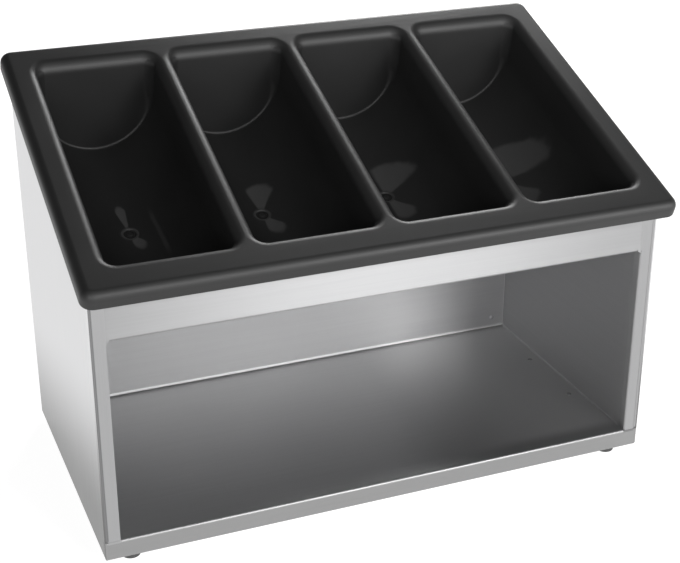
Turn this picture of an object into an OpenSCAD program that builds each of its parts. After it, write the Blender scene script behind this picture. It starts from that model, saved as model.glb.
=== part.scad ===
// Countertop cutlery dispenser: a folded sheet-steel cabinet with a slanted top and an open
// storage bay, carrying a moulded tray with four round-bottomed cutlery troughs.
// The cabinet stands on +Z, its open front faces -Y, and X runs across its width.

/* [Cabinet] */
// Height of the front edge above the base
front_h = 262; // [250:1:300]
// Slope of the top, in degrees
tilt = 20.5; // [19.5:0.5:22]
// Sheet thickness
sheet_t = 1.2; // [0.8:0.1:1.5]
// Bend radius at the middle of the sheet
bend_r = 1.6; // [1.2:0.1:2.4]
// How far the tray's rim stands out past each side of the cabinet
side_overhang = 7; // [5:0.5:9]
// Gap between the outer troughs and the inner skins of the side walls
side_clear = 4.2; // [4:0.1:6]
// Gap between the troughs' front walls and the cabinet's front face, along the slope
front_clear = 5.1; // [4.9:0.1:8]

/* [Front frame] */
// Height of the base band below the bay
base_h = 18; // [16:1:24]
// Height of the bay's opening
opening_h = 185; // [150:1:190]
// Depth of the returns folded behind the frame
frame_return = 10; // [8:0.5:12]
// Open seam between a side panel and its stile
seam_gap = 0.8; // [0.4:0.1:1.5]
// Rounding in the upper corners of the opening
frame_corner_r = 3; // [1:0.5:6]
// Depth of the hem folded down inside the top rail
hem_depth = 12; // [6:1:20]
// How far the base band wraps round onto each side
wrap_l = 6; // [4:0.5:8]
// Gap between the edges of sheets that meet in the bay
edge_gap = 0.2; // [0.15:0.05:0.4]
// Diameter of the relief hole at the foot of each seam
relief_d = 2.4; // [1.6:0.1:2.6]

/* [Bay] */
// How far the back panel stands ahead of the rear edge
back_inset = 30; // [26:1:34]
// Gap between the back panel's upper edge and the troughs above it
back_clear = 20; // [3:1:60]
// Height of the floor's rear upstand behind the back panel
upstand_h = 20; // [16:1:30]
// Width of the liner flanges folded in under the floor
liner_flange = 24; // [20:1:40]
// Length of the sloping flange on the rear top rail
rear_flange = 14; // [12:0.5:15]
// Height of the web of the rear top rail
rear_web_h = 30; // [20:1:40]

/* [Rivets] */
// Diameter of a rivet's head
rivet_head_d = 5; // [4:0.5:8]
// Height of a rivet's head
rivet_head_h = 0.9; // [0.6:0.1:1.5]
// Diameter of a rivet's closed end
rivet_tail_d = 4.6; // [4.2:0.1:5.5]
// Height of a rivet's closed end
rivet_tail_h = 1.6; // [1:0.1:2.5]
// Diameter of a rivet's shank
rivet_d = 3.2; // [2.4:0.1:4]
// Clearance round a rivet's shank
rivet_clear = 0.05; // [0.02:0.01:0.2]
// Distance from the side wall to the floor rivets
floor_rivet_edge = 12.5; // [9:0.5:16]
// Distance from the front to the first floor rivet
floor_rivet_start = 82; // [50:1:100]
// Spacing of the floor rivets
floor_rivet_pitch = 80; // [60:1:120]
// Distance from the side wall to the back rivets
back_rivet_edge = 14.5; // [9:0.5:40]
// Height of the back rivets above the floor
back_rivet_h = 11.5; // [8:0.5:12]

/* [Feet] */
// Diameter of a rubber foot at its upper face
foot_d = 18; // [16:1:24]
// Height of a foot
foot_h = 7; // [6:0.5:12]
// How much a foot narrows towards the ground, on the diameter
foot_taper = 2; // [0:0.5:4]
// Rounding of a foot's lower edge
foot_edge_r = 1.2; // [0.5:0.1:2]
// Distance from a foot to the inner skin of the side wall
foot_side_gap = 2; // [1:0.5:40]
// Distance from a foot to the front or the rear face
foot_end_gap = 8; // [2.5:0.5:10]
// Diameter of a foot screw
screw_d = 4; // [3:0.5:5]
// Length of a foot screw under its head
screw_l = 12; // [10:0.5:16]
// Diameter of a foot screw's head
screw_head_d = 8; // [6:0.5:9]
// Height of a foot screw's head
screw_head_h = 2.6; // [2:0.1:3.5]
// Diameter of the screw's driver recess
recess_d = 3; // [2:0.5:4]
// Depth of the screw's driver recess
recess_l = 1.5; // [1:0.1:2]
// Height of the screw's seat above the ground
screw_seat_h = 4.5; // [4:0.5:5.5]
// Clearance round a foot screw's head, on the radius
head_clear = 0.4; // [0.2:0.1:1]
// Clearance round a foot screw, on the radius
screw_clear = 0.15; // [0.1:0.05:0.4]
// Clearance between a foot screw and its nut, on the radius
thread_clear = 0.05; // [0.02:0.01:0.1]
// Diameter of a washer
washer_d = 9; // [8:0.5:11]
// Thickness of a washer
washer_t = 0.9; // [0.5:0.1:1.5]
// Width across the flats of a nut
nut_af = 7; // [6:0.5:8]
// Height of a nut
nut_h = 3.2; // [2.4:0.1:5]

/* [Tray rim] */
// Width of the tray over its rim
tray_w = 530; // [500:1:560]
// Length of the tray along the slope
tray_l = 325; // [300:1:350]
// Wall thickness of the moulding
tray_t = 2.6; // [2:0.1:2.8]
// Rounding along the outer edge of the rim
rim_edge_r = 7.5; // [4:0.5:8]
// Corner radius of the rim in plan
rim_corner_r = 10; // [9:0.5:11]
// Height of the rim's turned-down skirt
skirt_h = 15; // [12:0.5:20]
// Gap between the rim and its seat
seat_gap = 0.45; // [0.4:0.05:1]
// Gap between the rear skirt and the cabinet's rear edge
hook_gap = 1.4; // [1:0.1:1.6]

/* [Troughs] */
// Number of troughs
trough_count = 4; // [3:1:5]
// Width of the divider between two troughs
divider_w = 17; // [16:0.5:24]
// Width of the rim beside the outer troughs
side_rim = 27.5; // [25:0.5:34]
// Width of the rim ahead of the troughs
front_rim = 34; // [32:0.5:44]
// Width of the rim behind the troughs
rear_rim = 28.7; // [27:0.1:36]
// Inside depth of a trough below the rim
trough_depth = 90; // [82:1:98]
// How much the round bottom draws in from each side of the trough
trough_flank = 0.2; // [0:0.1:4]
// Slope of the end walls from upright, in degrees
end_draft = 11; // [2:0.5:14]
// Rounding where an end wall meets the trough
trough_fillet = 3; // [2:0.5:8]
// Rounding of the trough's mouth
mouth_r = 7.8; // [4:0.1:7.9]

/* [Gate marks] */
// Diameter of the raised ring round the injection point
gate_ring_d = 17; // [12:0.5:24]
// Height of the raised ring
gate_ring_h = 0.4; // [0.2:0.1:1]
// Diameter of the sunk dish inside the ring
gate_dish_d = 11; // [8:0.5:14]
// Diameter of the stub in the middle
gate_stub_d = 5; // [3:0.5:7]
// How far the injection point lies ahead of a trough's middle
gate_shift = 7; // [0:1:20]

/* [Hidden] */

steel = [0.78, 0.79, 0.80];
steel_dull = [0.62, 0.63, 0.65];
rubber = [0.16, 0.16, 0.17];
plastic = [0.13, 0.13, 0.14];

bend_steps = 4;
corner_steps = 6;
round_steps = 4;
arc_steps = 20;
slice = 0.01;
cut = 1;

trough_w = (tray_w - 2 * side_rim - (trough_count - 1) * divider_w) / trough_count;
trough_pitch = trough_w + divider_w;
trough_r = trough_w / 2 - trough_flank;

// The cabinet is sized round the tray, whose rear skirt hooks over its rear edge
tray_seat_y = tray_l - tray_t - hook_gap;
slope_l = tray_seat_y - front_rim + tray_t + front_clear;
cabinet_d = slope_l * cos(tilt);
half_w = tray_w / 2 - side_overhang;
bay_w = tray_w / 2 - side_rim + tray_t + side_clear;
side_wall_t = half_w - bay_w;
floor_z = base_h - 1.5 * sheet_t;
rail_z = base_h + opening_h;
back_y = cabinet_d - back_inset;
back_z = base_h + bend_r;
panel_r = bend_r + sheet_t / 2;
tight_r = sheet_t * 0.6;
floor_w = bay_w - edge_gap;
rear_h = front_h + cabinet_d * tan(tilt);
foot_x = bay_w - foot_side_gap - foot_d / 2;
foot_inset_y = foot_end_gap + foot_d / 2;
foot_y = [foot_inset_y, cabinet_d - foot_inset_y];
base_return = 2 * foot_inset_y;
tray_y = cabinet_d - tray_seat_y * cos(tilt) - (tray_t + seat_gap) * sin(tilt);
tray_z = rear_h - tray_seat_y * sin(tilt) + (tray_t + seat_gap) * cos(tilt);
back_top = tray_z + (back_y - tray_y) * tan(tilt) - (trough_depth + tray_t) / cos(tilt) - back_clear;
tray_front = tray_y + rim_edge_r * (cos(tilt) + sin(tilt) - 1);
tray_rear = tray_y + tray_l * cos(tilt) + skirt_h * sin(tilt);
mid_y = (tray_front + max(tray_rear, cabinet_d)) / 2;
trough_l = tray_l - front_rim - rear_rim;
trough_c = trough_depth - trough_r;
gate_rise = gate_ring_d * gate_ring_d / 8 / trough_r;

// Unit step from one point to the next, its left-hand normal, and a turned vector
function step(a, b) = (b - a) / norm(b - a);
function left(v) = [-v[1], v[0]];
function turned(v, a) = [v[0] * cos(a) - v[1] * sin(a), v[0] * sin(a) + v[1] * cos(a)];
function bend_at(path, i) =
    let (u = step(path[i - 1], path[i]), v = step(path[i], path[i + 1]))
    atan2(u[0] * v[1] - u[1] * v[0], u * v);

// Points of one bend in a line that runs beside the sheet's middle, off to its left
function bend_points(path, i, off, r) =
    let (
        a = bend_at(path, i),
        s = sign(a),
        u = step(path[i - 1], path[i]),
        centre = path[i] - u * r * tan(abs(a) / 2) + s * r * left(u)
    )
    [for (k = [0 : bend_steps]) centre - s * (r - s * off) * turned(left(u), a * k / bend_steps)];

function side_line(path, off, r) =
    let (last = len(path) - 1)
    concat(
        [path[0] + off * left(step(path[0], path[1]))],
        [for (i = [1 : last - 1]) each bend_points(path, i, off, is_list(r) ? r[i - 1] : r)],
        [path[last] + off * left(step(path[last - 1], path[last]))]
    );

function reversed(list) = [for (i = [len(list) - 1 : -1 : 0]) list[i]];

// Outline of a folded sheet that follows the path along its middle
function folded(path, r = bend_r, t = sheet_t) =
    concat(side_line(path, t / 2, r), reversed(side_line(path, -t / 2, r)));

// Arc points round a centre
function arc(centre, r, from, to, steps) =
    [for (k = [0 : steps]) let (a = from + (to - from) * k / steps) centre + r * [cos(a), sin(a)]];

// Rounded rectangle centred on the origin
function rounded_box(w, l, r, steps) =
    let (x = w / 2 - r, y = l / 2 - r)
    concat(
        arc([x, y], r, 0, 90, steps),
        arc([-x, y], r, 90, 180, steps),
        arc([-x, -y], r, 180, 270, steps),
        arc([x, -y], r, 270, 360, steps)
    );

// The cabinet's own frame: y from its front face, z from its lower edge
module in_cabinet() {
    translate([0, -mid_y, foot_h]) children();
}

// The sloping frame of the seat: y up the slope, z square to it
module in_slope() {
    translate([0, 0, front_h]) rotate([tilt, 0, 0]) children();
}

// The tray's frame: y from its front edge up the slope, z from the top of its rim
module in_tray() {
    in_cabinet() translate([0, tray_y, tray_z]) rotate([tilt, 0, 0]) children();
}

// A profile drawn as (y, z) and run along x, between two places
module run_x(from, to) {
    translate([from, 0, 0]) rotate([90, 0, 90]) linear_extrude(to - from) children();
}

// A profile drawn as (x, z) and run along y, between two places
module run_y(from, to) {
    translate([0, to, 0]) rotate([90, 0, 0]) linear_extrude(to - from) children();
}

// Everything below the underside of the top flanges
module below_top(drop = sheet_t) {
    run_x(-half_w - cut, half_w + cut)
    polygon([
        [-cut, -foot_h],
        [cabinet_d + cut, -foot_h],
        [cabinet_d + cut, front_h + (cabinet_d + cut) * tan(tilt) - drop / cos(tilt)],
        [-cut, front_h - cut * tan(tilt) - drop / cos(tilt)]
    ]);
}

// Arc that rounds the corner between the upright rear and the slope
function rear_corner(in) =
    let (centre = [cabinet_d - panel_r, rear_h - panel_r * (1 + sin(tilt)) / cos(tilt)])
    arc(centre, panel_r - in, 0, 90 + tilt, bend_steps);

// Block bounded by the panel's rounded edges, drawn in by a distance
module panel_block(in, width) {
    r = panel_r - in;
    x = -half_w + in;
    far = -half_w + width;
    intersection() {
        translate([0, 0, -cut]) linear_extrude(rear_h + 2 * cut)
        polygon(concat(
            [[far, -cut * in], [x, -cut * in]],
            arc([x + r, cabinet_d - in - r], r, 180, 90, bend_steps),
            [[far, cabinet_d - in]]
        ));
        run_y(-2 * cut, cabinet_d + cut)
        polygon(concat(
            [[far, rear_h + cut], [x, rear_h + cut]],
            arc([x + r, in + r], r, 180, 270, bend_steps),
            [[far, in]]
        ));
        in_slope() run_y(-front_h, slope_l + cut * 4)
        polygon(concat(
            [[far, -in]],
            arc([x + r, -in - r], r, 90, 180, bend_steps),
            [[x, -rear_h - front_h], [far, -rear_h - front_h]]
        ));
        run_x(-half_w - cut, far + cut)
        polygon(concat(
            [[-2 * cut, -2 * cut], [cabinet_d - in, -2 * cut]],
            rear_corner(in),
            [[cabinet_d - panel_r, rear_h + panel_r], [-2 * cut, rear_h + panel_r]]
        ));
    }
}

module left_side_panel_shape() {
    color(steel)
    in_cabinet()
    difference() {
        panel_block(0, side_wall_t);
        panel_block(sheet_t, side_wall_t + cut);
        translate([-half_w - cut, -cut, -cut]) cube([side_wall_t + 2 * cut, wrap_l + cut, base_h + cut]);
        relief_hole();
    }
}

// Inner skin of a side wall, with the flange under the floor
module left_liner_shape() {
    x = -bay_w - sheet_t / 2;
    color(steel_dull)
    in_cabinet()
    difference() {
        intersection() {
            run_y(frame_return, cabinet_d - sheet_t)
            polygon(folded([[liner_flange - bay_w, floor_z], [x, floor_z], [x, rear_h]], tight_r));
            below_top();
        }
        translate([-bay_w, back_y, 0]) cube([liner_flange + cut, back_inset, base_h]);
        floor_rivet_spots(-1) translate([0, 0, floor_z - cut - sheet_t]) rivet_hole();
    }
}

// Round relief at the foot of the left seam
module relief_hole() {
    translate([seam_gap / 2 + sheet_t - half_w, 0, base_h])
    run_y(-cut, wrap_l) circle(d = relief_d, $fn = 32);
}

// Channel that closes the front of a side wall
module left_stile_shape() {
    outer = -half_w + sheet_t + seam_gap + sheet_t / 2;
    inner = -bay_w - sheet_t / 2;
    mid = sheet_t / 2;
    color(steel)
    in_cabinet()
    difference() {
        intersection() {
            translate([0, 0, base_h]) linear_extrude(rear_h)
            polygon(folded([[outer, frame_return], [outer, mid], [inner, mid], [inner, frame_return]]));
            below_top();
        }
        relief_hole();
    }
}

module left_side_panel() { left_side_panel_shape(); }
module right_side_panel() { mirror([1, 0, 0]) left_side_panel_shape(); }
module left_liner() { left_liner_shape(); }
module right_liner() { mirror([1, 0, 0]) left_liner_shape(); }
module left_stile() { left_stile_shape(); }
module right_stile() { mirror([1, 0, 0]) left_stile_shape(); }

// Web that rounds an upper corner of the opening, reaching up into the rail's face
module corner_web() {
    run_y(0, sheet_t)
    difference() {
        square([frame_corner_r, frame_corner_r + panel_r + sheet_t]);
        translate([frame_corner_r, 0]) circle(frame_corner_r, $fn = 48);
    }
}

module top_rail() {
    mid = sheet_t / 2;
    hem = mid + 2 * tight_r;
    color(steel)
    in_cabinet() {
        run_x(-bay_w, bay_w)
        polygon(folded(
            [
                [hem, front_h - hem_depth],
                [hem, front_h - mid],
                [mid, front_h - mid],
                [mid, rail_z + mid],
                [frame_return, rail_z + mid]
            ],
            [tight_r, tight_r, bend_r]
        ));
        for (side = [0, 1]) mirror([side, 0, 0])
        translate([-bay_w, 0, rail_z - frame_corner_r]) corner_web();
    }
}

// Outline of the base band, with its front corners and its lower ends rounded
module band_outline() {
    intersection() {
        linear_extrude(base_h)
        polygon(concat(
            [[-half_w, wrap_l]],
            arc([panel_r - half_w, panel_r], panel_r, 180, 270, bend_steps),
            arc([half_w - panel_r, panel_r], panel_r, 270, 360, bend_steps),
            [[half_w, wrap_l]]
        ));
        run_y(0, wrap_l)
        polygon(concat(
            [[-half_w, base_h]],
            arc([panel_r - half_w, panel_r], panel_r, 180, 270, bend_steps),
            arc([half_w - panel_r, panel_r], panel_r, 270, 360, bend_steps),
            [[half_w, base_h]]
        ));
    }
}

// One sheet: feet return, base band, floor and the upstand behind the back panel
module floor_pan() {
    mid = sheet_t / 2;
    top = base_h - mid;
    rear = back_y + sheet_t + mid;
    color(steel_dull)
    in_cabinet()
    difference() {
        union() {
            run_x(-floor_w, floor_w)
            polygon(folded([
                [base_return, mid],
                [mid, mid],
                [mid, top],
                [rear, top],
                [rear, base_h + upstand_h]
            ]));
            intersection() {
                band_outline();
                for (side = [0, 1]) mirror([side, 0, 0]) {
                    run_x(-half_w, panel_r - bay_w)
                    polygon(folded([[wrap_l, mid], [mid, mid], [mid, top], [wrap_l, top]]));
                    translate([-half_w, mid, 0]) cube([sheet_t, wrap_l - mid, base_h - mid]);
                }
            }
        }
        for (side = [-1, 1]) {
            floor_rivet_spots(side) translate([0, 0, floor_z]) rivet_hole();
            back_rivet_spots(side) rivet_hole();
            translate([side * foot_x, foot_y[0], -cut]) screw_hole();
        }
        relief_hole();
        mirror([1, 0, 0]) relief_hole();
    }
}

// Block bounded by the back panel's rounded edges, drawn in by a distance
module back_block(in) {
    r = panel_r - in;
    x = bay_w - in;
    y = back_y + in;
    far = cabinet_d - 2 * sheet_t + cut * in;
    top = back_top - in;
    intersection() {
        translate([0, 0, back_z - cut * in]) linear_extrude(back_top)
        polygon(concat(
            [[-x, far]],
            arc([r - x, y + r], r, 180, 270, bend_steps),
            arc([x - r, y + r], r, 270, 360, bend_steps),
            [[x, far]]
        ));
        run_x(-half_w, half_w)
        polygon(concat(
            [[far, 0], [y, 0]],
            arc([y + r, top - r], r, 180, 90, bend_steps),
            [[far, top]]
        ));
    }
}

// Pan with its flanges folded to the rear, standing clear of the floor's bend
module back_panel() {
    color(steel_dull)
    in_cabinet()
    difference() {
        back_block(0);
        back_block(sheet_t);
        translate([-bay_w - cut, back_y + sheet_t, 0])
        cube([2 * bay_w + 2 * cut, back_inset, base_h + upstand_h + edge_gap]);
        for (side = [-1, 1]) back_rivet_spots(side) rivet_hole();
    }
}

module rear_top_rail() {
    y = cabinet_d - sheet_t / 2;
    z = rear_h - sheet_t / 2 * (tan(tilt) + 1 / cos(tilt));
    color(steel_dull)
    in_cabinet()
    run_x(-bay_w, bay_w)
    polygon(folded([
        [y - rear_flange * cos(tilt), z - rear_flange * sin(tilt)],
        [y, z],
        [y, z - rear_web_h],
        [y - frame_return, z - rear_web_h]
    ]));
}

// Folded rail behind the back panel, carrying the rear feet
module rear_base_rail() {
    mid = sheet_t / 2;
    front = back_y + 2.5 * sheet_t;
    rear = cabinet_d - sheet_t - mid;
    color(steel_dull)
    in_cabinet()
    difference() {
        run_x(-bay_w, bay_w)
        polygon(folded([
            [front, base_h + upstand_h],
            [front, base_h - mid],
            [rear, base_h - mid],
            [rear, mid],
            [rear - base_return, mid]
        ]));
        for (side = [-1, 1]) {
            back_rivet_spots(side) rivet_hole();
            translate([side * foot_x, foot_y[1], -cut]) screw_hole();
        }
    }
}

module screw_hole() {
    cylinder(r = screw_d / 2 + screw_clear, h = sheet_t + 2 * cut, $fn = 32);
}

module rivet_hole() {
    translate([0, 0, -cut]) cylinder(r = rivet_d / 2 + rivet_clear, h = 4 * sheet_t + 2 * cut, $fn = 32);
}

// Floor rivets of one side, each with its own z along the rivet's axis
module floor_rivet_spots(side) {
    for (k = [0, 1])
    translate([side * (bay_w - floor_rivet_edge), floor_rivet_start + k * floor_rivet_pitch, 0]) children();
}

// Back rivet of one side, turned so that its head faces the bay
module back_rivet_spots(side) {
    translate([side * (bay_w - back_rivet_edge), back_y + 3 * sheet_t, base_h + back_rivet_h])
    rotate([90, 0, 0]) children();
}

// Rivet through a stack of sheets, drawn from the stack's far face upwards
module rivet(grip) {
    tail = [[0, -rivet_tail_h], [rivet_tail_d / 2, -rivet_tail_h], [rivet_tail_d / 2, 0]];
    shank = [[rivet_d / 2, 0], [rivet_d / 2, grip]];
    head = dome(rivet_head_d / 2, rivet_head_h);
    rotate_extrude($fn = 40) polygon(concat(tail, shank, [for (p = head) p + [0, grip]]));
}

module floor_rivets() {
    color(steel_dull)
    in_cabinet()
    for (side = [-1, 1]) floor_rivet_spots(side)
    translate([0, 0, base_h - 2 * sheet_t]) rivet(2 * sheet_t);
}

module back_rivets() {
    color(steel_dull)
    in_cabinet()
    for (side = [-1, 1]) back_rivet_spots(side) rivet(3 * sheet_t);
}

// Rubber foot with a sunk seat for its screw
module foot(side, row) {
    top_r = foot_d / 2;
    low_r = (foot_d - foot_taper) / 2;
    hole_r = screw_d / 2 + screw_clear;
    sink_r = screw_head_d / 2 + head_clear;
    color(rubber)
    in_cabinet()
    translate([side * foot_x, foot_y[row], -foot_h])
    rotate_extrude($fn = 64)
    polygon(concat(
        [[hole_r, screw_seat_h], [sink_r, screw_seat_h], [sink_r, 0]],
        arc([low_r - foot_edge_r, foot_edge_r], foot_edge_r, -90, 0, bend_steps),
        [[top_r, foot_h], [hole_r, foot_h]]
    ));
}

module foot_front_left() { foot(-1, 0); }
module foot_front_right() { foot(1, 0); }
module foot_rear_left() { foot(-1, 1); }
module foot_rear_right() { foot(1, 1); }

// Points of a flattened dome, from its rim to its middle
function dome(r, h) =
    [for (k = [0 : bend_steps]) let (a = 90 * k / bend_steps) [r * cos(a), h * sin(a)]];

// Repeats a fastener at every foot, with z from the ground
module at_feet() {
    in_cabinet()
    for (side = [-1, 1]) for (y = foot_y)
    translate([side * foot_x, y, -foot_h]) children();
}

module foot_screws() {
    color(steel_dull)
    at_feet()
    translate([0, 0, screw_seat_h])
    difference() {
        union() {
            cylinder(d = screw_d, h = screw_l, $fn = 40);
            mirror([0, 0, 1]) rotate_extrude($fn = 40)
            polygon(concat([[0, 0]], dome(screw_head_d / 2, screw_head_h)));
        }
        translate([0, 0, -screw_head_h - cut]) cylinder(d = recess_d, h = recess_l + cut, $fn = 6);
    }
}

module foot_washers() {
    color(steel)
    at_feet()
    translate([0, 0, foot_h + sheet_t])
    difference() {
        cylinder(d = washer_d, h = washer_t, $fn = 48);
        translate([0, 0, -cut]) cylinder(r = screw_d / 2 + screw_clear, h = washer_t + 2 * cut, $fn = 40);
    }
}

module foot_nuts() {
    color(steel)
    at_feet()
    translate([0, 0, foot_h + sheet_t + washer_t])
    difference() {
        cylinder(d = nut_af / cos(30), h = nut_h, $fn = 6);
        translate([0, 0, -cut]) cylinder(r = screw_d / 2 + thread_clear, h = nut_h + 2 * cut, $fn = 40);
    }
}

// Thin plate in the shape of the rim, drawn in by a distance, at a height
module rim_plate(in, z) {
    translate([0, tray_l / 2, z]) linear_extrude(slice)
    polygon(rounded_box(tray_w - 2 * in, tray_l - 2 * in, rim_corner_r - in, corner_steps));
}

// Solid under the rim's outer surface, or under its inner one when drawn in by the wall
module rim_solid(wall) {
    r = rim_edge_r - wall;
    hull() {
        for (a = [0 : 90 / round_steps : 90])
        rim_plate(wall + r * (1 - cos(a)), r * sin(a) - rim_edge_r - slice);
        rim_plate(wall, -skirt_h - (wall > 0 ? cut : 0));
    }
}

// Cross-section of a trough below its mouth's rounding, as (x, z), drawn in by a distance
function trough_section(w, r, in) =
    let (
        x = w / 2 - in,
        rise = trough_c - mouth_r,
        a = atan2(rise, x) - acos((r - in) / sqrt(x * x + rise * rise))
    )
    concat([[-x, 0], [x, 0]], arc([0, -rise], r - in, a, -180 - a, arc_steps));

// Thin slices that lean with an end wall and round it off
module end_slices(grow, rear) {
    fillet = trough_fillet + grow;
    place = rear ? front_rim + trough_l + grow : front_rim - grow;
    lean = rear ? tan(end_draft) : -tan(end_draft);
    inward = rear ? -1 : 1;
    translate([0, 0, -mouth_r])
    multmatrix([[1, 0, 0, 0], [0, 1, lean, place], [0, 0, 1, 0], [0, 0, 0, 1]])
    for (k = [0 : round_steps])
    translate([0, inward * fillet * (1 - sin(90 * k / round_steps)), 0])
    rotate([90, 0, 0]) linear_extrude(slice, center = true)
    polygon(trough_section(trough_w + 2 * grow, trough_r + grow, fillet * (1 - cos(90 * k / round_steps))));
}

// Thin plate across the mouth of a trough, at one step of its rounding
module mouth_plate(grow, k) {
    r = mouth_r - grow;
    out = grow + r * (1 - cos(90 * k / round_steps));
    rise = r + (grow > 0 ? slice : 0);
    translate([0, front_rim + trough_l / 2, -mouth_r + rise * sin(90 * k / round_steps)]) linear_extrude(slice)
    polygon(rounded_box(trough_w + 2 * out, trough_l + 2 * out, trough_fillet + out, corner_steps));
}

// Space of one trough, or with grow the outside of its wall
module trough(grow) {
    hull() {
        end_slices(grow, false);
        end_slices(grow, true);
    }
    for (k = [0 : round_steps - 1]) hull() {
        mouth_plate(grow, k);
        mouth_plate(grow, k + 1);
    }
    if (grow == 0) translate([0, 0, slice]) hull() {
        mouth_plate(grow, round_steps);
        translate([0, 0, cut]) mouth_plate(grow, round_steps);
    }
}

// Repeats a trough across the tray
module at_troughs() {
    for (k = [0 : trough_count - 1])
    translate([(k - (trough_count - 1) / 2) * trough_pitch, 0, 0]) children();
}

// Injection point at the bottom of a trough
module at_gate() {
    translate([0, front_rim + trough_l / 2 - gate_shift, -trough_depth]) children();
}

// One moulding: rim with its turned-down skirt, and the troughs hung in it
module cutlery_tray() {
    color(plastic)
    in_tray()
    difference() {
        union() {
            difference() {
                union() {
                    difference() {
                        rim_solid(0);
                        rim_solid(tray_t);
                    }
                    at_troughs() trough(tray_t);
                }
                at_troughs() trough(0);
            }
            at_troughs() at_gate() translate([0, 0, -tray_t / 2])
            cylinder(d = gate_ring_d, h = tray_t / 2 + gate_rise + gate_ring_h, $fn = 32);
        }
        at_troughs() at_gate() difference() {
            cylinder(d = gate_dish_d, h = trough_r, $fn = 32);
            translate([0, 0, -cut]) cylinder(d = gate_stub_d, h = cut + gate_ring_h, $fn = 24);
        }
    }
}

cutlery_tray();
left_side_panel();
right_side_panel();
left_liner();
right_liner();
left_stile();
right_stile();
top_rail();
floor_pan();
back_panel();
rear_top_rail();
rear_base_rail();
foot_front_left();
foot_front_right();
foot_rear_left();
foot_rear_right();
foot_screws();
foot_washers();
foot_nuts();
floor_rivets();
back_rivets();
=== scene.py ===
import bpy, bmesh, math
from mathutils import Matrix, Vector


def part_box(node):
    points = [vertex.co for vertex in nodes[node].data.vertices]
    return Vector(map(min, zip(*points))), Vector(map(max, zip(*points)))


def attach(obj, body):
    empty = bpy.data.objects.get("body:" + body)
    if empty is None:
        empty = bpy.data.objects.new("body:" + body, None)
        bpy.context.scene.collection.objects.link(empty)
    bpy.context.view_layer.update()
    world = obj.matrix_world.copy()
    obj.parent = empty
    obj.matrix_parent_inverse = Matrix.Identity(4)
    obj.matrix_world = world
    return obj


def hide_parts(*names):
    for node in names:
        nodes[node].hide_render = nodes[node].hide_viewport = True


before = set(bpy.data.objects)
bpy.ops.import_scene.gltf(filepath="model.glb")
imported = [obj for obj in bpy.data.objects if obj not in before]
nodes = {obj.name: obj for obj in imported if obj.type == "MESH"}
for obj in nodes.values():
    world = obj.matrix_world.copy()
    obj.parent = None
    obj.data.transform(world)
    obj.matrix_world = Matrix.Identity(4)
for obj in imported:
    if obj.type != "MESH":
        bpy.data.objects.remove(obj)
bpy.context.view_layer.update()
scene = bpy.context.scene
mm = 0.001
print("frame loaded:", len(nodes), "nodes")


# Shader maths as plain expressions

class Value:  # wraps one output socket, so that + - * / make Math nodes
    def __init__(self, wires, socket):
        self.wires, self.socket = wires, socket

    def math(self, how, *terms):
        return self.wires.node("ShaderNodeMath", {"operation": how}, dict(enumerate(terms)))

    def __add__(self, other):
        return self.math("ADD", self, other)

    def __sub__(self, other):
        return self.math("SUBTRACT", self, other)

    def __rsub__(self, other):
        return self.math("SUBTRACT", other, self)

    def __mul__(self, other):
        return self.math("MULTIPLY", self, other)

    def __truediv__(self, other):
        return self.math("DIVIDE", self, other)

    def __pow__(self, other):
        return self.math("POWER", self, other)

    def __abs__(self):
        return self.math("ABSOLUTE", self)

    def __neg__(self):
        return self.math("MULTIPLY", self, -1.0)

    def clamp(self):
        return self.wires.node("ShaderNodeClamp", {}, {0: self})

    def fade(self, low, high):  # 0 below low, 1 above high, smooth between
        return self.wires.node("ShaderNodeMapRange", {"interpolation_type": "SMOOTHSTEP"},
                               {"Value": self, "From Min": low, "From Max": high})

    def line(self, slope, start):
        return self * slope + start


class Wires:  # one node tree, with a method that makes any node
    def __init__(self, tree):
        self.tree = tree

    def node(self, kind, settings, inputs, output=0):
        made = self.tree.nodes.new(kind)
        for name, value in settings.items():
            setattr(made, name, value)
        for key, value in inputs.items():
            self.feed(made.inputs[key], value)
        return Value(self, made.outputs[output])

    def feed(self, socket, value):
        if isinstance(value, Value):
            self.tree.links.new(value.socket, socket)
        else:
            socket.default_value = value

    def place(self):  # the piece's own coordinates, in metres
        return self.node("ShaderNodeTexCoord", {}, {}, "Object")

    def stretch(self, point, scale, shift=(0, 0, 0)):
        return self.node("ShaderNodeMapping", {}, {"Vector": point, "Scale": scale, "Location": shift})

    def noise(self, point, scale, detail):
        inputs = {"Vector": point, "Scale": scale, "Detail": detail}
        return self.node("ShaderNodeTexNoise", {}, inputs, "Fac")

    def part(self, point, axis):
        return self.node("ShaderNodeSeparateXYZ", {}, {0: point}, axis)

    def tint(self, low, high, mix):  # colour between two, by a value
        return self.node("ShaderNodeMix", {"data_type": "RGBA"}, {0: mix, 6: (*low, 1), 7: (*high, 1)}, 2)

    def greys(self, low, high, mix):
        return self.tint((low,) * 3, (high,) * 3, mix)

    def blend(self, colour, other, mix):  # towards another colour or grey
        if isinstance(other, float):
            other = (other, other, other, 1)
        return self.node("ShaderNodeMix", {"data_type": "RGBA"}, {0: mix, 6: colour, 7: other}, 2)

    def bump(self, height, strength, distance):
        inputs = {"Height": height, "Strength": strength, "Distance": distance}
        return self.node("ShaderNodeBump", {}, inputs)


class Paint(Wires):  # one material with its Principled shader
    def __init__(self, name, **plain):
        self.material = bpy.data.materials.new(name)
        self.material.use_nodes = True
        super().__init__(self.material.node_tree)
        self.set(**plain)

    def set(self, **links):
        for name, value in links.items():
            self.feed(self.tree.nodes["Principled BSDF"].inputs[name.replace("_", " ")], value)


# Steel sheet: brushed streaks run along one axis, and each panel's finish has its tone set lighter or
# darker as painted light and shade

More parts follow.
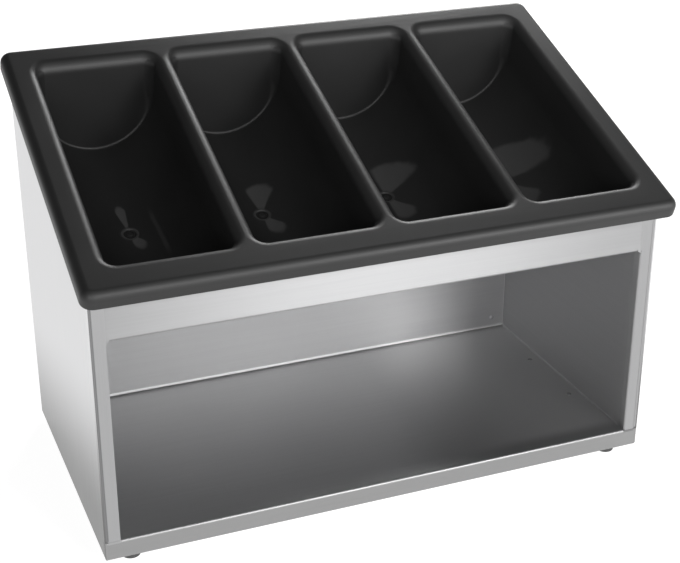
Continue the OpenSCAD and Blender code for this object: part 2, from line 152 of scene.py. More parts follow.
steel = {
    "rail": {"grain": (12, 1800, 1800), "light": 0.36, "dark": 0.34, "rough": 0.42,
             "brushed": 0.88, "turn": 0.25, "streak": 0.1},
    "stile": {"grain": (1800, 1800, 12), "light": 0.415, "dark": 0.395, "rough": 0.42,
              "brushed": 0.8, "turn": 0.0, "streak": 0.12},
    "side": {"grain": (1200, 1200, 10), "light": 0.66, "dark": 0.63, "rough": 0.34,
             "brushed": 0.5, "turn": 0.0, "streak": 0.08},
    "pan": {"grain": (10, 1200, 1200), "light": 0.44, "dark": 0.41, "rough": 0.42,
            "brushed": 0.0, "turn": 0.0, "streak": 0.08},
    "bay": {"grain": (10, 1200, 1200), "light": 0.41, "dark": 0.385, "rough": 0.52,
            "brushed": 0.0, "turn": 0.0, "streak": 0.08},
    "wall": {"grain": (1200, 10, 1200), "light": 0.48, "dark": 0.45, "rough": 0.5,
             "brushed": 0.0, "turn": 0.0, "streak": 0.08},
    "mark": {"grain": (700, 700, 700), "light": 0.40, "dark": 0.34, "rough": 0.6,
             "brushed": 0.0, "turn": 0.0, "streak": 0.1},
    # painted shade for the dark lines in the seams and the relief holes
    "seam": {"grain": (1200, 1200, 10), "light": 0.23, "dark": 0.19, "rough": 0.45,
             "brushed": 0.0, "turn": 0.0, "streak": 0.08},
    "glint": {"grain": (10, 1200, 1200), "light": 0.50, "dark": 0.46, "rough": 0.5,
              "brushed": 0.0, "turn": 0.0, "streak": 0.05},
    "hidden": {"grain": (14, 700, 700), "light": 0.50, "dark": 0.45, "rough": 0.4,
               "brushed": 0.0, "turn": 0.0, "streak": 0.15},
}
sheet = {  # what all the finishes share: three noises, and how much each counts
    "fine": 0.55, "broad": 0.25, "cloud": 0.2, "contrast": (0.3, 0.7), "broader": 5, "shift": (3, 1, 2),
    "cloudScale": 7, "blue": 1.01, "roughFine": 0.1, "roughCloud": 0.06, "depth": 0.3 * mm,
}
paintedLightAndShade = {  # where painted light and shade go on the sheets, and the tone there; places in metres
    "side": 0.18, "sideLean": 0.25, "sideShift": 0.0325, "sideFade": (0.04, 0.19),
    "floor": 0.70, "floorLightRight": (0.06, 0.18), "floorShadeFront": (0.104, 0.122),
    "band": 0.285, "bandGrain": 0.03, "bandFrom": (0.129, 0.130),
    "wrapGrain": 0.02, "wrapFrom": (0.2572, 0.2578),
}


def brushedSteel(name, grain, light, dark, rough, brushed, turn, streak):
    paint = Paint("steel_" + name, Metallic=1.0, IOR=2.5, Anisotropic=brushed, Anisotropic_Rotation=turn)
    point = paint.place()
    fine = paint.noise(paint.stretch(point, grain), scale=1, detail=2)
    wider = tuple(g / sheet["broader"] for g in grain)
    broad = paint.noise(paint.stretch(point, wider, sheet["shift"]), scale=1, detail=2)
    cloud = paint.noise(point, scale=sheet["cloudScale"], detail=3)
    tone = (fine * sheet["fine"] + broad * sheet["broad"] + cloud * sheet["cloud"]).fade(*sheet["contrast"])
    blue = sheet["blue"]
    colour = paint.tint((dark, dark, dark * blue), (light, light, light * blue), tone)
    if name == "side":  # painted shade: darker low down at the front
        y, z = (paint.part(point, axis) for axis in "YZ")
        low = 1 - (z + y * paintedLightAndShade["sideLean"] + paintedLightAndShade["sideShift"]).fade(*paintedLightAndShade["sideFade"])
        colour = paint.blend(colour, paintedLightAndShade["side"], low)
    if name == "pan":  # one sheet: the bay's floor, the band in front and the wraps at the corners, with painted light and shade
        x, y = (paint.part(point, axis) for axis in "XY")
        # painted light on the right of the bay's floor, kept off a darker strip along its front
        back = 1 - (-y).fade(*paintedLightAndShade["floorShadeFront"])
        colour = paint.blend(colour, paintedLightAndShade["floor"], x.fade(*paintedLightAndShade["floorLightRight"]) * back)
        # painted shade: the band darker, and the wraps as dark as the low front of the side
        band, wrapShade = fine.line(paintedLightAndShade["bandGrain"], paintedLightAndShade["band"]), fine.line(paintedLightAndShade["wrapGrain"], paintedLightAndShade["side"])
        colour = paint.blend(colour, band, (-y).fade(*paintedLightAndShade["bandFrom"]))
        colour = paint.blend(colour, wrapShade, abs(x).fade(*paintedLightAndShade["wrapFrom"]))
    uneven = (fine - 0.5) * sheet["roughFine"] + (cloud - 0.5) * sheet["roughCloud"]
    paint.set(Base_Color=colour, Roughness=(uneven + rough).clamp(),
              Normal=paint.bump(fine, streak, sheet["depth"]))
    return paint.material


# Tray: one moulding with four troughs, drawn in its own frame and laid on the slope

tray = {
    "width": 530 * mm, "length": 325 * mm, "wall": 2.6 * mm, "slope": 20.5,
    "edgeRadius": 8 * mm, "seatRadius": 7.5 * mm, "cornerRadius": 10.5 * mm, "skirt": 15 * mm,
    "lipRadius": 1.0 * mm,
    "troughs": 4, "divider": 17 * mm, "sideRim": 27.5 * mm, "frontRim": 34 * mm, "rearRim": 31.7 * mm,
    "depth": 90 * mm, "flank": 0.2 * mm, "draft": 11, "rearDraft": 9,
    "mouthRadius": 8.3 * mm, "endRadius": 9 * mm, "rearRadius": 11.5 * mm, "rearDrop": 11 * mm,
    "fillet": 2.2 * mm, "mouthFillet": 9.5 * mm, "filletBelow": 66 * mm, "mouthFilletAbove": 30 * mm,
    "gateFromMiddle": -5.5 * mm, "gateRing": 8.5 * mm, "gateGroove": 6 * mm, "gateStub": 3 * mm,
    "ringHeight": 0.35 * mm, "grooveDepth": 0.5 * mm, "stubHeight": 0.2 * mm,
    "ringSlope": (0.4 * mm, 0.8 * mm), "grooveSlope": (0.4 * mm, 0.3 * mm),
}
facets = {  # how finely the tray is cut: counts for the rounds, degrees for the arc, shares of the length
    "quarter": 6, "flare": 8, "corner": 8, "edge": 10, "end": 10, "flank": 3, "arc": 3.5,
    "bottom": (12, 0.6), "underBottom": (20, 5),
    "body": 0.04, "underBody": 0.08, "gateHalf": 10.5 * mm, "gateStep": 0.6 * mm,
}


def traySizes():
    t = dict(tray)
    t["troughWidth"] = (t["width"] - 2 * t["sideRim"] - (t["troughs"] - 1) * t["divider"]) / t["troughs"]
    t["pitch"] = t["troughWidth"] + t["divider"]
    t["radius"] = t["troughWidth"] / 2 - t["flank"]
    t["low"], t["high"] = t["frontRim"], t["length"] - t["rearRim"]
    t["gateY"] = (t["low"] + t["high"]) / 2 + t["gateFromMiddle"]
    return t


def trayPlace(t):  # carries the tray's own frame to its place on the cabinet
    low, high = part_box("cutlery_tray")
    slope, r = math.radians(t["slope"]), t["seatRadius"]
    c, s = math.cos(slope), math.sin(slope)
    y = low.y - r * (c + s - 1)
    z = high.z - (t["length"] - r) * s + r * c - r
    return Matrix.Translation((0, y, z)) @ Matrix.Rotation(slope, 4, "X")


def spaced(low, high, step):
    count = max(1, round(abs(high - low) / step))
    return [low + (high - low) * k / count for k in range(count + 1)]


def quarter(count):  # angles of a quarter turn, in radians
    return [math.radians(90 * k / count) for k in range(count + 1)]


def around(r, degrees):
    return r * math.cos(math.radians(degrees)), r * math.sin(math.radians(degrees))


def gateHeight(t, d):  # stub, sunk groove and raised ring round the injection point
    ring, groove, stub = t["gateRing"], t["gateGroove"], t["gateStub"]
    (rise, fall), (foot, brink) = t["ringSlope"], t["grooveSlope"]
    path = ((0, t["stubHeight"]), (stub - foot, t["stubHeight"]), (stub + brink, -t["grooveDepth"]),
            (groove - foot, -t["grooveDepth"]), (groove + brink, t["ringHeight"]),
            (ring - rise, t["ringHeight"]), (ring + fall, 0))
    for (near, low), (far, high) in zip(path, path[1:]):
        if d < far:
            return low + (high - low) * (d - near) / (far - near)
    return 0


def troughSection(t, grow, inset, fine):  # (x, z) from the left of the mouth, under, to the right
    x = t["troughWidth"] / 2 + grow - inset
    r = t["radius"] + grow - inset
    centre = t["depth"] - t["radius"]
    rise = centre - t["mouthRadius"]
    a = math.degrees(math.atan2(rise, x) - math.acos(r / math.hypot(x, rise)))  # where flank and arc meet
    half, step = facets["bottom" if fine else "underBottom"]
    angles = spaced(a, half - 90, facets["arc"])[:-1] + spaced(half - 90, -half - 90, step)
    angles += spaced(-half - 90, -180 - a, facets["arc"])[1:]
    arc = [(px, pz - centre) for px, pz in (around(r, b) for b in angles)]
    z, (x1, z1), cuts = -t["mouthRadius"], arc[0], facets["flank"]
    flank = [(x + (x1 - x) * k / cuts, z + (z1 - z) * k / cuts) for k in range(cuts)]
    return [(-px, pz) for px, pz in flank + arc] + flank[::-1]


def troughStations(t, grow, fine):  # (share of the way to the rear, step in from the end, inset)
    r = t["fillet"] + grow
    ends = [(r * (1 - math.sin(a)), r * (1 - math.cos(a))) for a in quarter(facets["quarter"])]
    span = t["high"] - t["low"]
    gate, near = (t["gateY"] - t["low"]) / span, facets["gateHalf"] / span
    if fine:
        body = spaced(0, gate - near, facets["body"])[:-1]
        body += spaced(gate - near, gate + near, facets["gateStep"] / span)
        body += spaced(gate + near, 1, facets["body"])[1:]
    else:
        body = spaced(0, 1, facets["underBody"])
    front = [(0, step, inset) for step, inset in reversed(ends[1:])]
    rear = [(1, step, inset) for step, inset in ends[1:]]
    return front + [(share, r, 0) for share in body] + rear


def endTurn(k, count):  # -90 degrees at the front end, 0 along the sides and 90 at the rear end
    each = 90 / facets["quarter"]
    return math.radians(min(0, each * k - 90) + max(0, each * (k + 1 - count) + 90))


def cornerShare(t, z):  # corner radius at a height, against the radius at the bottom
    share = min(1, max(0, (z + t["filletBelow"]) / (t["filletBelow"] - t["mouthFilletAbove"])))
    return 1 + (t["mouthFillet"] / t["fillet"] - 1) * share * share * (3 - 2 * share)


def troughRow(bm, t, x0, grow, fine, station, turn):  # vertices of one cross-section, from left to right
    share, step, inset = station
    draft, rearDraft = math.tan(math.radians(t["draft"])), math.tan(math.radians(t["rearDraft"]))
    half = t["troughWidth"] / 2 + grow
    section = troughSection(t, grow, inset, fine)
    drop = (t["rearDrop"] - t["mouthRadius"]) * math.sin(max(0, turn)) ** 2  # the rear mouth starts lower
    section[0], section[-1] = ((x, z - drop) for x, z in (section[0], section[-1]))
    row = []
    for x, z in section:
        down = -t["mouthRadius"] - z
        near = cornerShare(t, z)  # corners widen towards the mouth
        x, pull = x * (1 - (near - 1) * inset / half), step * near
        front, rear = t["low"] - grow + down * draft + pull, t["high"] + grow - down * rearDraft - pull
        y = front + (rear - front) * share
        lift = gateHeight(t, math.hypot(x, y - t["gateY"])) if fine else 0
        row.append(bm.verts.new((x0 + x - lift * x / t["radius"], y, z + lift)))
    return row


def addEndWall(bm, row, x0):  # flat wall inside an end row; returns the vertices along its top
    wide, count = row[-1].co.x - x0, facets["end"]
    y, z = row[0].co.y, row[0].co.z
    top = [bm.verts.new((x0 + wide * (2 * k / count - 1), y, z)) for k in range(1, count)]
    closeFlat(bm, [row + top[::-1]])
    return top


def addTrough(bm, t, x0, grow, fine):  # one skin of a trough; returns its mouth as (vertex, outward way)
    stations = troughStations(t, grow, fine)
    turns = [endTurn(k, len(stations)) for k in range(len(stations))]
    rows = [troughRow(bm, t, x0, grow, fine, station, turn) for station, turn in zip(stations, turns)]
    for one, two in zip(rows, rows[1:]):
        bridge(bm, one, two, closed=False)
    tops = [addEndWall(bm, row, x0) for row in (rows[0], rows[-1])]
    left = [(row[0], Vector((-math.cos(a), math.sin(a), 0))) for row, a in zip(rows, turns)]
    right = [(row[-1], Vector((math.cos(a), math.sin(a), 0))) for row, a in zip(rows, turns)]
    front, rear = ([(vert, Vector((0, way, 0))) for vert in top] for top, way in zip(tops, (-1, 1)))
    return left + rear + right[::-1] + front[::-1]


def addFlare(bm, t, mouth, grow):  # rolls the mouth over into the rim; returns the last loop
    r = t["mouthRadius"] - grow
    loop = [vert for vert, way in mouth]
    base = [vert.co.copy() for vert in loop]
    for a in quarter(facets["flare"])[1:]:
        out, up = 1 - math.cos(a), math.sin(a)
        after = []
        for b, (vert, way) in zip(base, mouth):  # wider towards the ends than towards the webs
            end = (t["rearRadius"] if way.y > 0 else t["endRadius"]) - grow
            after.append(bm.verts.new(b + Vector((way.x * r * out, way.y * end * out, (-grow - b.z) * up))))
        bridge(bm, loop, after)
        loop = after
    return loop


def bridge(bm, one, two, closed=True):
    for k in range(len(one) if closed else len(one) - 1):
        n = (k + 1) % len(one)
        bm.faces.new((one[k], one[n], two[n], two[k]))


def closeFlat(bm, loops):
    edges = []
    for loop in loops:
        for pair in zip(loop, loop[1:] + loop[:1]):
            edges.append(bm.edges.get(pair) or bm.edges.new(pair))
    bmesh.ops.triangle_fill(bm, use_beauty=True, edges=edges)


def rimLoop(bm, t, inset, z):
    x, y, r = t["width"] / 2 - inset, t["length"] / 2 - inset, t["cornerRadius"] - inset
    steps, points = facets["corner"], []
    for k, (sx, sy) in enumerate(((1, 1), (-1, 1), (-1, -1), (1, -1))):
        for j in range(steps + 1):
            px, py = around(r, 90 * (k + j / steps))
            points.append((sx * (x - r) + px, t["length"] / 2 + sy * (y - r) + py, z))
    return [bm.verts.new(p) for p in points]


def rimProfile(t):  # (inset, z) from the flat top, over the edge, round the skirt and back under
    wall, r, lip, foot = t["wall"], t["edgeRadius"], t["lipRadius"], -t["skirt"]
    turns = quarter(facets["edge"])
    path = [(r * (1 - math.sin(a)), -r + r * math.cos(a)) for a in turns]
    path.append((0, (foot + lip - r) / 2))
    path += [(lip * (1 - math.cos(a)), foot + lip - lip * math.sin(a)) for a in turns[::2]]
    path += [(wall - lip + lip * math.sin(a), foot + lip - lip * math.cos(a)) for a in turns[::2]]
    s = t["seatRadius"] - wall
    path.append((wall, (foot - wall - s) / 2))
    path += [(wall + s * (1 - math.cos(a)), -wall - s + s * math.sin(a)) for a in turns[::2]]
    return path


def makeTray(paint):
    t = traySizes()
    bm = bmesh.new()
    rings = [rimLoop(bm, t, inset, z) for inset, z in rimProfile(t)]
    for one, two in zip(rings, rings[1:]):
        bridge(bm, one, two)
    for grow, outer, fine in ((0, rings[0], True), (t["wall"], rings[-1], False)):
        loops = [outer]
        for k in range(t["troughs"]):
            x0 = (k - (t["troughs"] - 1) / 2) * t["pitch"]
            loops.append(addFlare(bm, t, addTrough(bm, t, x0, grow, fine), grow))
        closeFlat(bm, loops)
    bmesh.ops.recalc_face_normals(bm, faces=bm.faces)
    piece = finishMesh(bm, "tray", paint, trayPlace(t))
    weighNormals(piece)
    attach(piece, "tray")
    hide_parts("cutlery_tray")


def finishMesh(bm, name, paint, place=Matrix(), smooth=True):
    bm.transform(place)
    mesh = bpy.data.meshes.new(name)
    bm.to_mesh(mesh)
    bm.free()
    mesh.materials.append(paint)
    for face in mesh.polygons:
        face.use_smooth = smooth
    piece = bpy.data.objects.new(name, mesh)
    scene.collection.objects.link(piece)
    return piece


def weighNormals(piece):  # keeps the flat faces flat beside their rounded edges
    weigh = piece.modifiers.new("weigh", "WEIGHTED_NORMAL")
    weigh.keep_sharp, weigh.weight = True, 100


# Joints: small pieces that level the grooves between the folded sheets and finish their edges; the dark
# ones are painted shade in the seams and relief holes

joints = {
    "proud": 0.03 * mm, "deep": 0.9 * mm, "topGap": 3 * mm, "clear": 0.02 * mm,
    "weldOut": 2.3 * mm, "weldIn": 0.4 * mm, "weldFoot": 4 * mm,
    "seamOut": 0.9 * mm, "seamIn": 1.6 * mm, "seamSink": 0.4 * mm, "seamFoot": 1.3 * mm,
    "seamSlant": 0.5 * mm, "seamLip": 0.9 * mm,
    "bandBend": 2.3 * mm, "bandStart": 1.0 * mm, "bandIn": 0.1 * mm, "bandSink": 0.12 * mm,
    "relief": 1.3 * mm, "reliefSink": 0.8 * mm,
    "bandEnd": 0.35 * mm, "bandEndWide": 2.2 * mm, "bandEndFoot": 1.7 * mm,
    "edgeBead": 2.6 * mm, "wallBead": 1.1 * mm, "wallFront": 118 * mm, "wallIn": 0.05 * mm,
    "footBead": 1.6 * mm, "footBeadRaise": 0.3 * mm, "footBeadLow": 0.5 * mm, "footBeadThick": 0.8 * mm,
    "footBeadLip": 0.05 * mm, "footBeadLeft": 0.6 * mm,
    "cornerBead": 2.0 * mm, "cornerClear": 0.2 * mm, "cornerFront": (0.5 * mm, 0.1 * mm),
    "cornerBack": (2.4 * mm, 1.6 * mm),
}


def prism(bm, outline, low, high, way):  # runs an outline along an axis, with closed ends
    def spot(a, b, along):
        return {"x": (along, a, b), "y": (a, along, b), "z": (a, b, along)}[way]
    rings = [[bm.verts.new(spot(a, b, along)) for a, b in outline] for along in (low, high)]
    bridge(bm, *rings)
    for ring in rings:
        bm.faces.new(ring)


def makeJoint(name, paint, outline, low, high, way):
    bm = bmesh.new()
    prism(bm, outline, low, high, way)
    bmesh.ops.recalc_face_normals(bm, faces=bm.faces)
    piece = finishMesh(bm, name, paint, smooth=False)
    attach(piece, "cabinet")


def oblong(x0, x1, y0, y1):
    return [(x0, y0), (x1, y0), (x1, y1), (x0, y1)]


def makeFrontJoints(paints, name, side):  # side is -1 for the left of the front and 1 for the right
    j = joints
    stile, rail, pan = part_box("right_stile"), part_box("top_rail"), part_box("floor_pan")
    face, floor, inner, outer, end = stile[0].y, stile[0].z, rail[1].x, stile[1].x, pan[1].x
    front, deep, top = face - j["proud"], face + j["deep"], rail[1].z - j["topGap"]

    def flip(outline):
        return [(side * x, y) for x, y in outline]

    weld = oblong(inner - j["weldIn"], inner + j["weldOut"], front, deep)
    makeJoint("stile_weld_" + name, paints["stile"], flip(weld), rail[0].z + j["weldFoot"], top, "z")
    # the left seam bead, the right band bead and both relief plugs carry painted shade
    a, b, sink = outer + j["seamOut"], outer - j["seamIn"], face + j["seamSink"]
    seam = [(a, face + j["clear"]), (a - j["seamSlant"], sink), (b + j["seamLip"], sink),
            (b, front), (b, deep), (a, deep)]
    makeJoint("seam_bead_" + name, paints["seam" if side < 0 else "stile"], flip(seam),
              floor + j["seamFoot"], top, "z")
    band = [(front, floor - j["bandBend"]), (front, floor - j["bandSink"]),
            (deep, floor - j["bandSink"]), (deep, floor - j["bandBend"])]
    makeJoint("band_bead_" + name, paints["stile" if side < 0 else "seam"], band,
              *sorted((side * (inner - j["bandIn"]), side * (outer - j["bandStart"]))), "x")
    r, sunk = j["relief"], face + j["reliefSink"]
    makeJoint("relief_plug_" + name, paints["seam"], flip(oblong(outer - r, outer + r, sunk, sunk + r)),
              floor - r, floor + r, "z")
    bevel, wide = j["bandEnd"], j["bandEndWide"]
    close = [(end - wide, front), (end - bevel, front), (end, front + bevel),
             (end, face + wide), (end - wide, deep)]
    makeJoint("band_end_" + name, paints["pan"], flip(close),
              pan[0].z + j["bandEndFoot"], floor - j["clear"], "z")


def makeJoints(paints):
    for name, side in (("left", -1), ("right", 1)):
        makeFrontJoints(paints, name, side)
    j = joints
    stile, rail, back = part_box("right_stile"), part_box("top_rail"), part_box("back_panel")
    face, floor, plate, low = stile[0].y, stile[0].z, back[0].y, back[0].z
    front, deep = face - j["proud"], face + j["deep"]
    x = -stile[0].x
    makeJoint("stile_edge", paints["stile"], oblong(x, x - j["edgeBead"], front, deep),
              floor, rail[0].z + j["weldFoot"], "z")
    wall, e = rail[1].x + j["wallIn"], j["wallBead"]
    makeJoint("wall_foot_bead", paints["glint"],
              [(wall, floor + e), (rail[1].x - e, floor), (wall, floor)], -j["wallFront"], plate, "y")
    bottom, top, behind = low + j["footBeadLow"], low + j["footBead"], plate + j["footBeadThick"]
    makeJoint("back_foot_bead", paints["glint"],
              [(plate - j["footBeadRaise"], bottom), (plate - j["footBeadLip"], top),
               (behind, top), (behind, bottom)],
              back[0].x + j["footBeadLeft"], back[1].x - j["topGap"], "x")
    x0, x1 = back[1].x - j["cornerBead"], back[1].x - j["cornerClear"]
    corner = zip((x0, x1, x1, x0), j["cornerFront"] + j["cornerBack"])
    makeJoint("back_corner_bead", paints["wall"], [(x, plate + y) for x, y in corner],
              low, back[1].z - j["topGap"], "z")


# Front feet: a little further forward than in the source, as the photograph shows them

foot = {"radius": 8.3 * mm, "forward": 2.8 * mm, "rounding": 1.2 * mm, "roundSteps": 6, "steps": 48}


def makeFoot(name, paint):
    low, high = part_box(name)
    x, y = (low.x + high.x) / 2, (low.y + high.y) / 2 - foot["forward"]
    r, e = foot["radius"], foot["rounding"]
    path = [(r - e + e * math.sin(a), e - e * math.cos(a)) for a in quarter(foot["roundSteps"])]
    path.append((r, high.z))
    turns = [math.radians(360 * k / foot["steps"]) for k in range(foot["steps"])]
    bm = bmesh.new()
    rings = [[bm.verts.new((x + q * math.cos(a), y + q * math.sin(a), z)) for a in turns] for q, z in path]
    for one, two in zip(rings, rings[1:]):
        bridge(bm, one, two)
    for ring in (rings[0], rings[-1]):
        bm.faces.new(ring)
    bmesh.ops.recalc_face_normals(bm, faces=bm.faces)
    piece = finishMesh(bm, name + "_look", paint)
    weighNormals(piece)
    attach(piece, "cabinet")
    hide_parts(name)


# Tray plastic: nearly black, lighter towards the right as painted light, with painted highlights and
# painted shade round each gate

plastic = {
    "tone": 0.008, "worn": 0.011, "right": 0.018, "rightLightFade": (-0.2, 0.28), "rightLightCloud": (0.6, 0.6),
    "gritScale": 1400, "cloudScale": 14, "toneCloud": 1.6, "toneGrit": 0.5,
    "rough": 0.5, "roughCloud": 0.12, "roughDish": 0.4, "texture": 0.18, "depth": 0.2 * mm,
    "fanHighlight": 0.055, "ring": 0.04, "dish": 0.004, "streak": 0.025,
}
marks = {  # pairs are a slope by x and a start, since the fans turn and grow from trough to trough
    "wander": 6 * mm, "wanderScale": 90, "wanderTurn": 25,
    "rearAim": (2.3, 0.33), "rearAimLeast": -0.05,
    "rearSpread": (1.5, 0.435), "rearFan": (0.035, 43.25 * mm),
    "frontAim": 0.38, "frontSpread": 0.4, "frontFan": (0.055, 30.75 * mm),
    "tip": 7 * mm, "tipSoft": 3 * mm, "sideSoft": (0.8, 1.1), "start": (4 * mm, 9 * mm),
    "streakAcross": 24 * mm, "streakAlong": -8 * mm, "streakWander": 0.3, "streakLean": 0.05,
    "streakWide": (0.6 * mm, 2.6 * mm), "streakLong": (18 * mm, 34 * mm), "streakEnd": (-0.14, -0.13),
    "below": (-70 * mm, -50 * mm), "ringSoft": (0.6 * mm, 1 * mm), "dishSoft": 0.8 * mm,
}


def gateMarks(paint, t, point):  # painted highlights in pale fans and on the ring, a pale streak, and painted shade in the sunk dish
    m, place = marks, trayPlace(t).inverted()
    own = paint.node("ShaderNodeMapping", {}, {"Vector": point, "Rotation": tuple(place.to_euler()),
                                               "Location": tuple(place.translation)})
    x, y, z = (paint.part(own, axis) for axis in "XYZ")
    turn = x / t["pitch"] + t["troughs"] / 2
    across, along = (turn - turn.math("FLOOR", turn) - 0.5) * t["pitch"], y - t["gateY"]
    wander = (paint.noise(point, scale=m["wanderScale"], detail=3) - 0.5) * m["wander"]
    d = (across * across + along * along) ** 0.5
    rearAim = x.math("MAXIMUM", x.line(*m["rearAim"]), m["rearAimLeast"])
    rear = (rearAim, x.line(*m["rearSpread"]), x.line(*m["rearFan"]))
    front = (m["frontAim"], m["frontSpread"], x.line(*m["frontFan"]))
    fans = []
    for side, (aim, spread, reach) in ((1, rear), (-1, front)):
        off = (across.math("ARCTAN2", across, along * side) - aim) / spread + wander * m["wanderTurn"]
        tip = 1 - (d - reach + off * off * m["tip"] + wander).fade(-m["tipSoft"], m["tipSoft"])
        fans.append((1 - abs(off).fade(*m["sideSoft"])) * tip * d.fade(*m["start"]))
    line = across - m["streakAcross"] + wander * m["streakWander"] + along * m["streakLean"]
    length = 1 - abs(along - m["streakAlong"]).fade(*m["streakLong"])
    streak = (1 - abs(line).fade(*m["streakWide"])) * length
    streak = streak * (1 - x.fade(*m["streakEnd"]))  # in the first trough only
    ring, groove, stub = t["gateRing"], t["gateGroove"], t["gateStub"]
    inner, outer = m["ringSoft"]
    raised = d.fade(groove - inner, groove) * (1 - d.fade(ring - outer, ring))
    sunk = (1 - d.fade(groove - m["dishSoft"], groove)) * d.fade(stub - m["dishSoft"], stub)
    inside = 1 - z.fade(*m["below"])
    return ((fans[0] + fans[1]) * inside).clamp(), raised * inside, sunk * inside, streak * inside


def trayPlastic():
    p, paint = plastic, Paint("tray_plastic", IOR=1.5)
    point = paint.place()
    grit = paint.noise(point, scale=p["gritScale"], detail=2)
    cloud = paint.noise(point, scale=p["cloudScale"], detail=4)
    tone = (cloud - 0.5) * p["toneCloud"] + (grit - 0.5) * p["toneGrit"] + 0.5
    colour = paint.greys(p["tone"], p["worn"], tone.clamp())
    # painted light: the plastic lighter towards the right
    right = paint.part(point, "X").fade(*p["rightLightFade"]) * cloud.line(*p["rightLightCloud"])
    colour = paint.blend(colour, p["right"], right)
    fans, ring, dish, streak = gateMarks(paint, traySizes(), point)
    # painted highlights in the fans and on the raised ring, painted shade in the sunk dish
    for name, mask in (("streak", streak), ("fanHighlight", fans), ("ring", ring), ("dish", dish)):
        colour = paint.blend(colour, p[name], mask)
    rough = (cloud - 0.5) * p["roughCloud"] + p["rough"] + dish * p["roughDish"]
    paint.set(Base_Color=colour, Roughness=rough.clamp(), Normal=paint.bump(grit, p["texture"], p["depth"]))
    return paint.material


# Feet and fasteners

rubber = {"dark": 0.03, "pale": 0.06, "rough": 0.7, "speckScale": 900, "texture": 0.2, "depth": 0.2 * mm}
plated = {"dark": (0.48, 0.48, 0.47), "pale": (0.62, 0.62, 0.6), "cloudScale": 300, "rough": (0.2, 0.25)}


def footRubber():
    paint = Paint("foot_rubber", Roughness=rubber["rough"])
    speck = paint.noise(paint.place(), scale=rubber["speckScale"], detail=3)
    paint.set(Base_Color=paint.greys(rubber["dark"], rubber["pale"], speck),
              Normal=paint.bump(speck, rubber["texture"], rubber["depth"]))
    return paint.material


def platedSteel():
    paint = Paint("plated_steel", Metallic=1.0)
    cloud = paint.noise(paint.place(), scale=plated["cloudScale"], detail=3)
    paint.set(Base_Color=paint.tint(plated["dark"], plated["pale"], cloud),
              Roughness=cloud.line(*plated["rough"]))
    return paint.material


# Stage: pale floor, soft light, and the camera where the photograph was taken

view = {"eye": (-445.4 * mm, -1125.1 * mm, 714.0 * mm), "turn": 21.83, "down": 24.33,
        "lens": 75.59, "sensor": 36, "clip": (0.05, 50)}
lamps = {
    "key": {"place": (1.10, -2.95, 1.25), "aim": (0, 0, 0.2), "size": (1.1, 1.5), "power": 66},
    "fill": {"place": (-1.60, -2.90, 1.30), "aim": (0, 0, 0.2), "size": (2.0, 1.6), "power": 46},
    "side": {"place": (2.70, -2.10, 1.20), "aim": (0, 0, 0.2), "size": (1.2, 1.4), "power": 26},
    "kicker": {"place": (1.13, 1.94, 1.34), "aim": (0.1, 0, 0.3), "size": (0.9, 0.9), "power": 36},
    "brow": {"place": (0.15, -1.35, 2.60), "aim": (0, 0, 0.3), "size": (2.4, 1.4), "power": 9},
}
surround = {
    "low": 0.62, "high": 0.06, "shade": (0.0, 0.45), "zenith": 0.09, "zenithFade": (0.6, 0.95),
    "left": 0.45, "leftFade": (-0.8, 0.0),
    "floorSize": 20, "floorTone": 0.3, "floorSpeck": 0.01, "speckScale": 60, "floorGlow": 0.90,
    "floorRough": 0.9, "floorShine": 0.2,
}


def makeCamera():
    camera = bpy.data.objects.new("camera", bpy.data.cameras.new("camera"))
    scene.collection.objects.link(camera)
    camera.data.lens, camera.data.sensor_width = view["lens"], view["sensor"]
    camera.data.clip_start, camera.data.clip_end = view["clip"]
    camera.location = view["eye"]
    camera.rotation_euler = (math.radians(90 - view["down"]), 0, -math.radians(view["turn"]))
    scene.camera = camera


def makeLamps():
    for name, lamp in lamps.items():
        data = bpy.data.lights.new(name, "AREA")
        data.shape, data.energy = "RECTANGLE", lamp["power"]
        data.size, data.size_y = lamp["size"]
        made = bpy.data.objects.new(name, data)
        scene.collection.objects.link(made)
        made.location = lamp["place"]
        way = Vector(lamp["aim"]) - Vector(lamp["place"])
        made.rotation_euler = way.to_track_quat("-Z", "Y").to_euler()


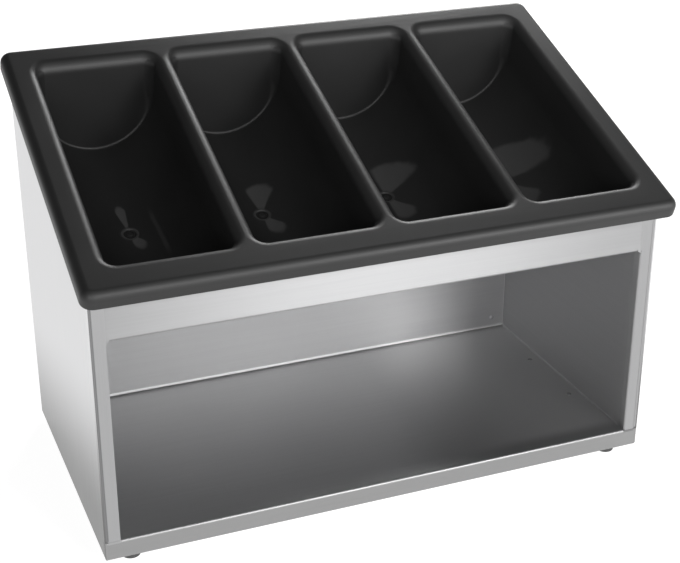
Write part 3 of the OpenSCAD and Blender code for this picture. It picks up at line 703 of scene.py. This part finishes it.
def makeSurround():  # dim above, pale towards the horizon and darker to the left
    s, world = surround, bpy.data.worlds.new("studio")
    world.use_nodes = True
    scene.world = world
    sky = Wires(world.node_tree)
    way = sky.node("ShaderNodeTexCoord", {}, {}, "Generated")
    up, right = sky.part(way, "Z"), sky.part(way, "X")
    shade = abs(up).fade(*s["shade"])
    colour = sky.greys(s["low"], s["high"], shade)
    colour = sky.blend(colour, s["zenith"], up.fade(*s["zenithFade"]))
    colour = sky.blend(colour, s["low"] * s["left"], (1 - right.fade(*s["leftFade"])) * (1 - shade))
    sky.feed(world.node_tree.nodes["Background"].inputs[0], colour)
    scene.view_settings.view_transform = "Standard"


def makeFloor():  # glows, so that it stays white
    s, bm = surround, bmesh.new()
    bmesh.ops.create_grid(bm, x_segments=8, y_segments=8, size=s["floorSize"])
    paint = Paint("floor_paper", Roughness=s["floorRough"])
    speck = paint.noise(paint.place(), scale=s["speckScale"], detail=3)
    paint.set(Base_Color=paint.greys(s["floorTone"] - s["floorSpeck"], s["floorTone"], speck),
              Emission_Color=(1, 1, 1, 1), Emission_Strength=s["floorGlow"],
              Specular_IOR_Level=s["floorShine"])
    floor = finishMesh(bm, "floor", paint.material)


makeCamera()
makeLamps()
makeSurround()
makeFloor()
print("stage ready")

paints = {name: brushedSteel(name, **values) for name, values in steel.items()}
paints["rubber"], paints["plated"] = footRubber(), platedSteel()
finishOf = {
    "rail": ("top_rail",),
    "pan": ("floor_pan",),
    "stile": ("left_stile", "right_stile"),
    "side": ("left_side_panel", "right_side_panel"),
    "bay": ("back_panel",),
    "wall": ("left_liner", "right_liner"),
    "hidden": ("rear_top_rail", "rear_base_rail"),
    "mark": ("floor_rivets", "back_rivets"),
    "rubber": ("foot_front_left", "foot_front_right", "foot_rear_left", "foot_rear_right"),
    "plated": ("foot_screws", "foot_washers", "foot_nuts"),
}
for finish, names in finishOf.items():
    for name in names:
        nodes[name].data.materials[0] = paints[finish]
print("steel and feet painted")

makeJoints(paints)
makeTray(trayPlastic())
for name in ("foot_front_left", "foot_front_right"):
    makeFoot(name, paints["rubber"])
print("joints, tray and front feet made")
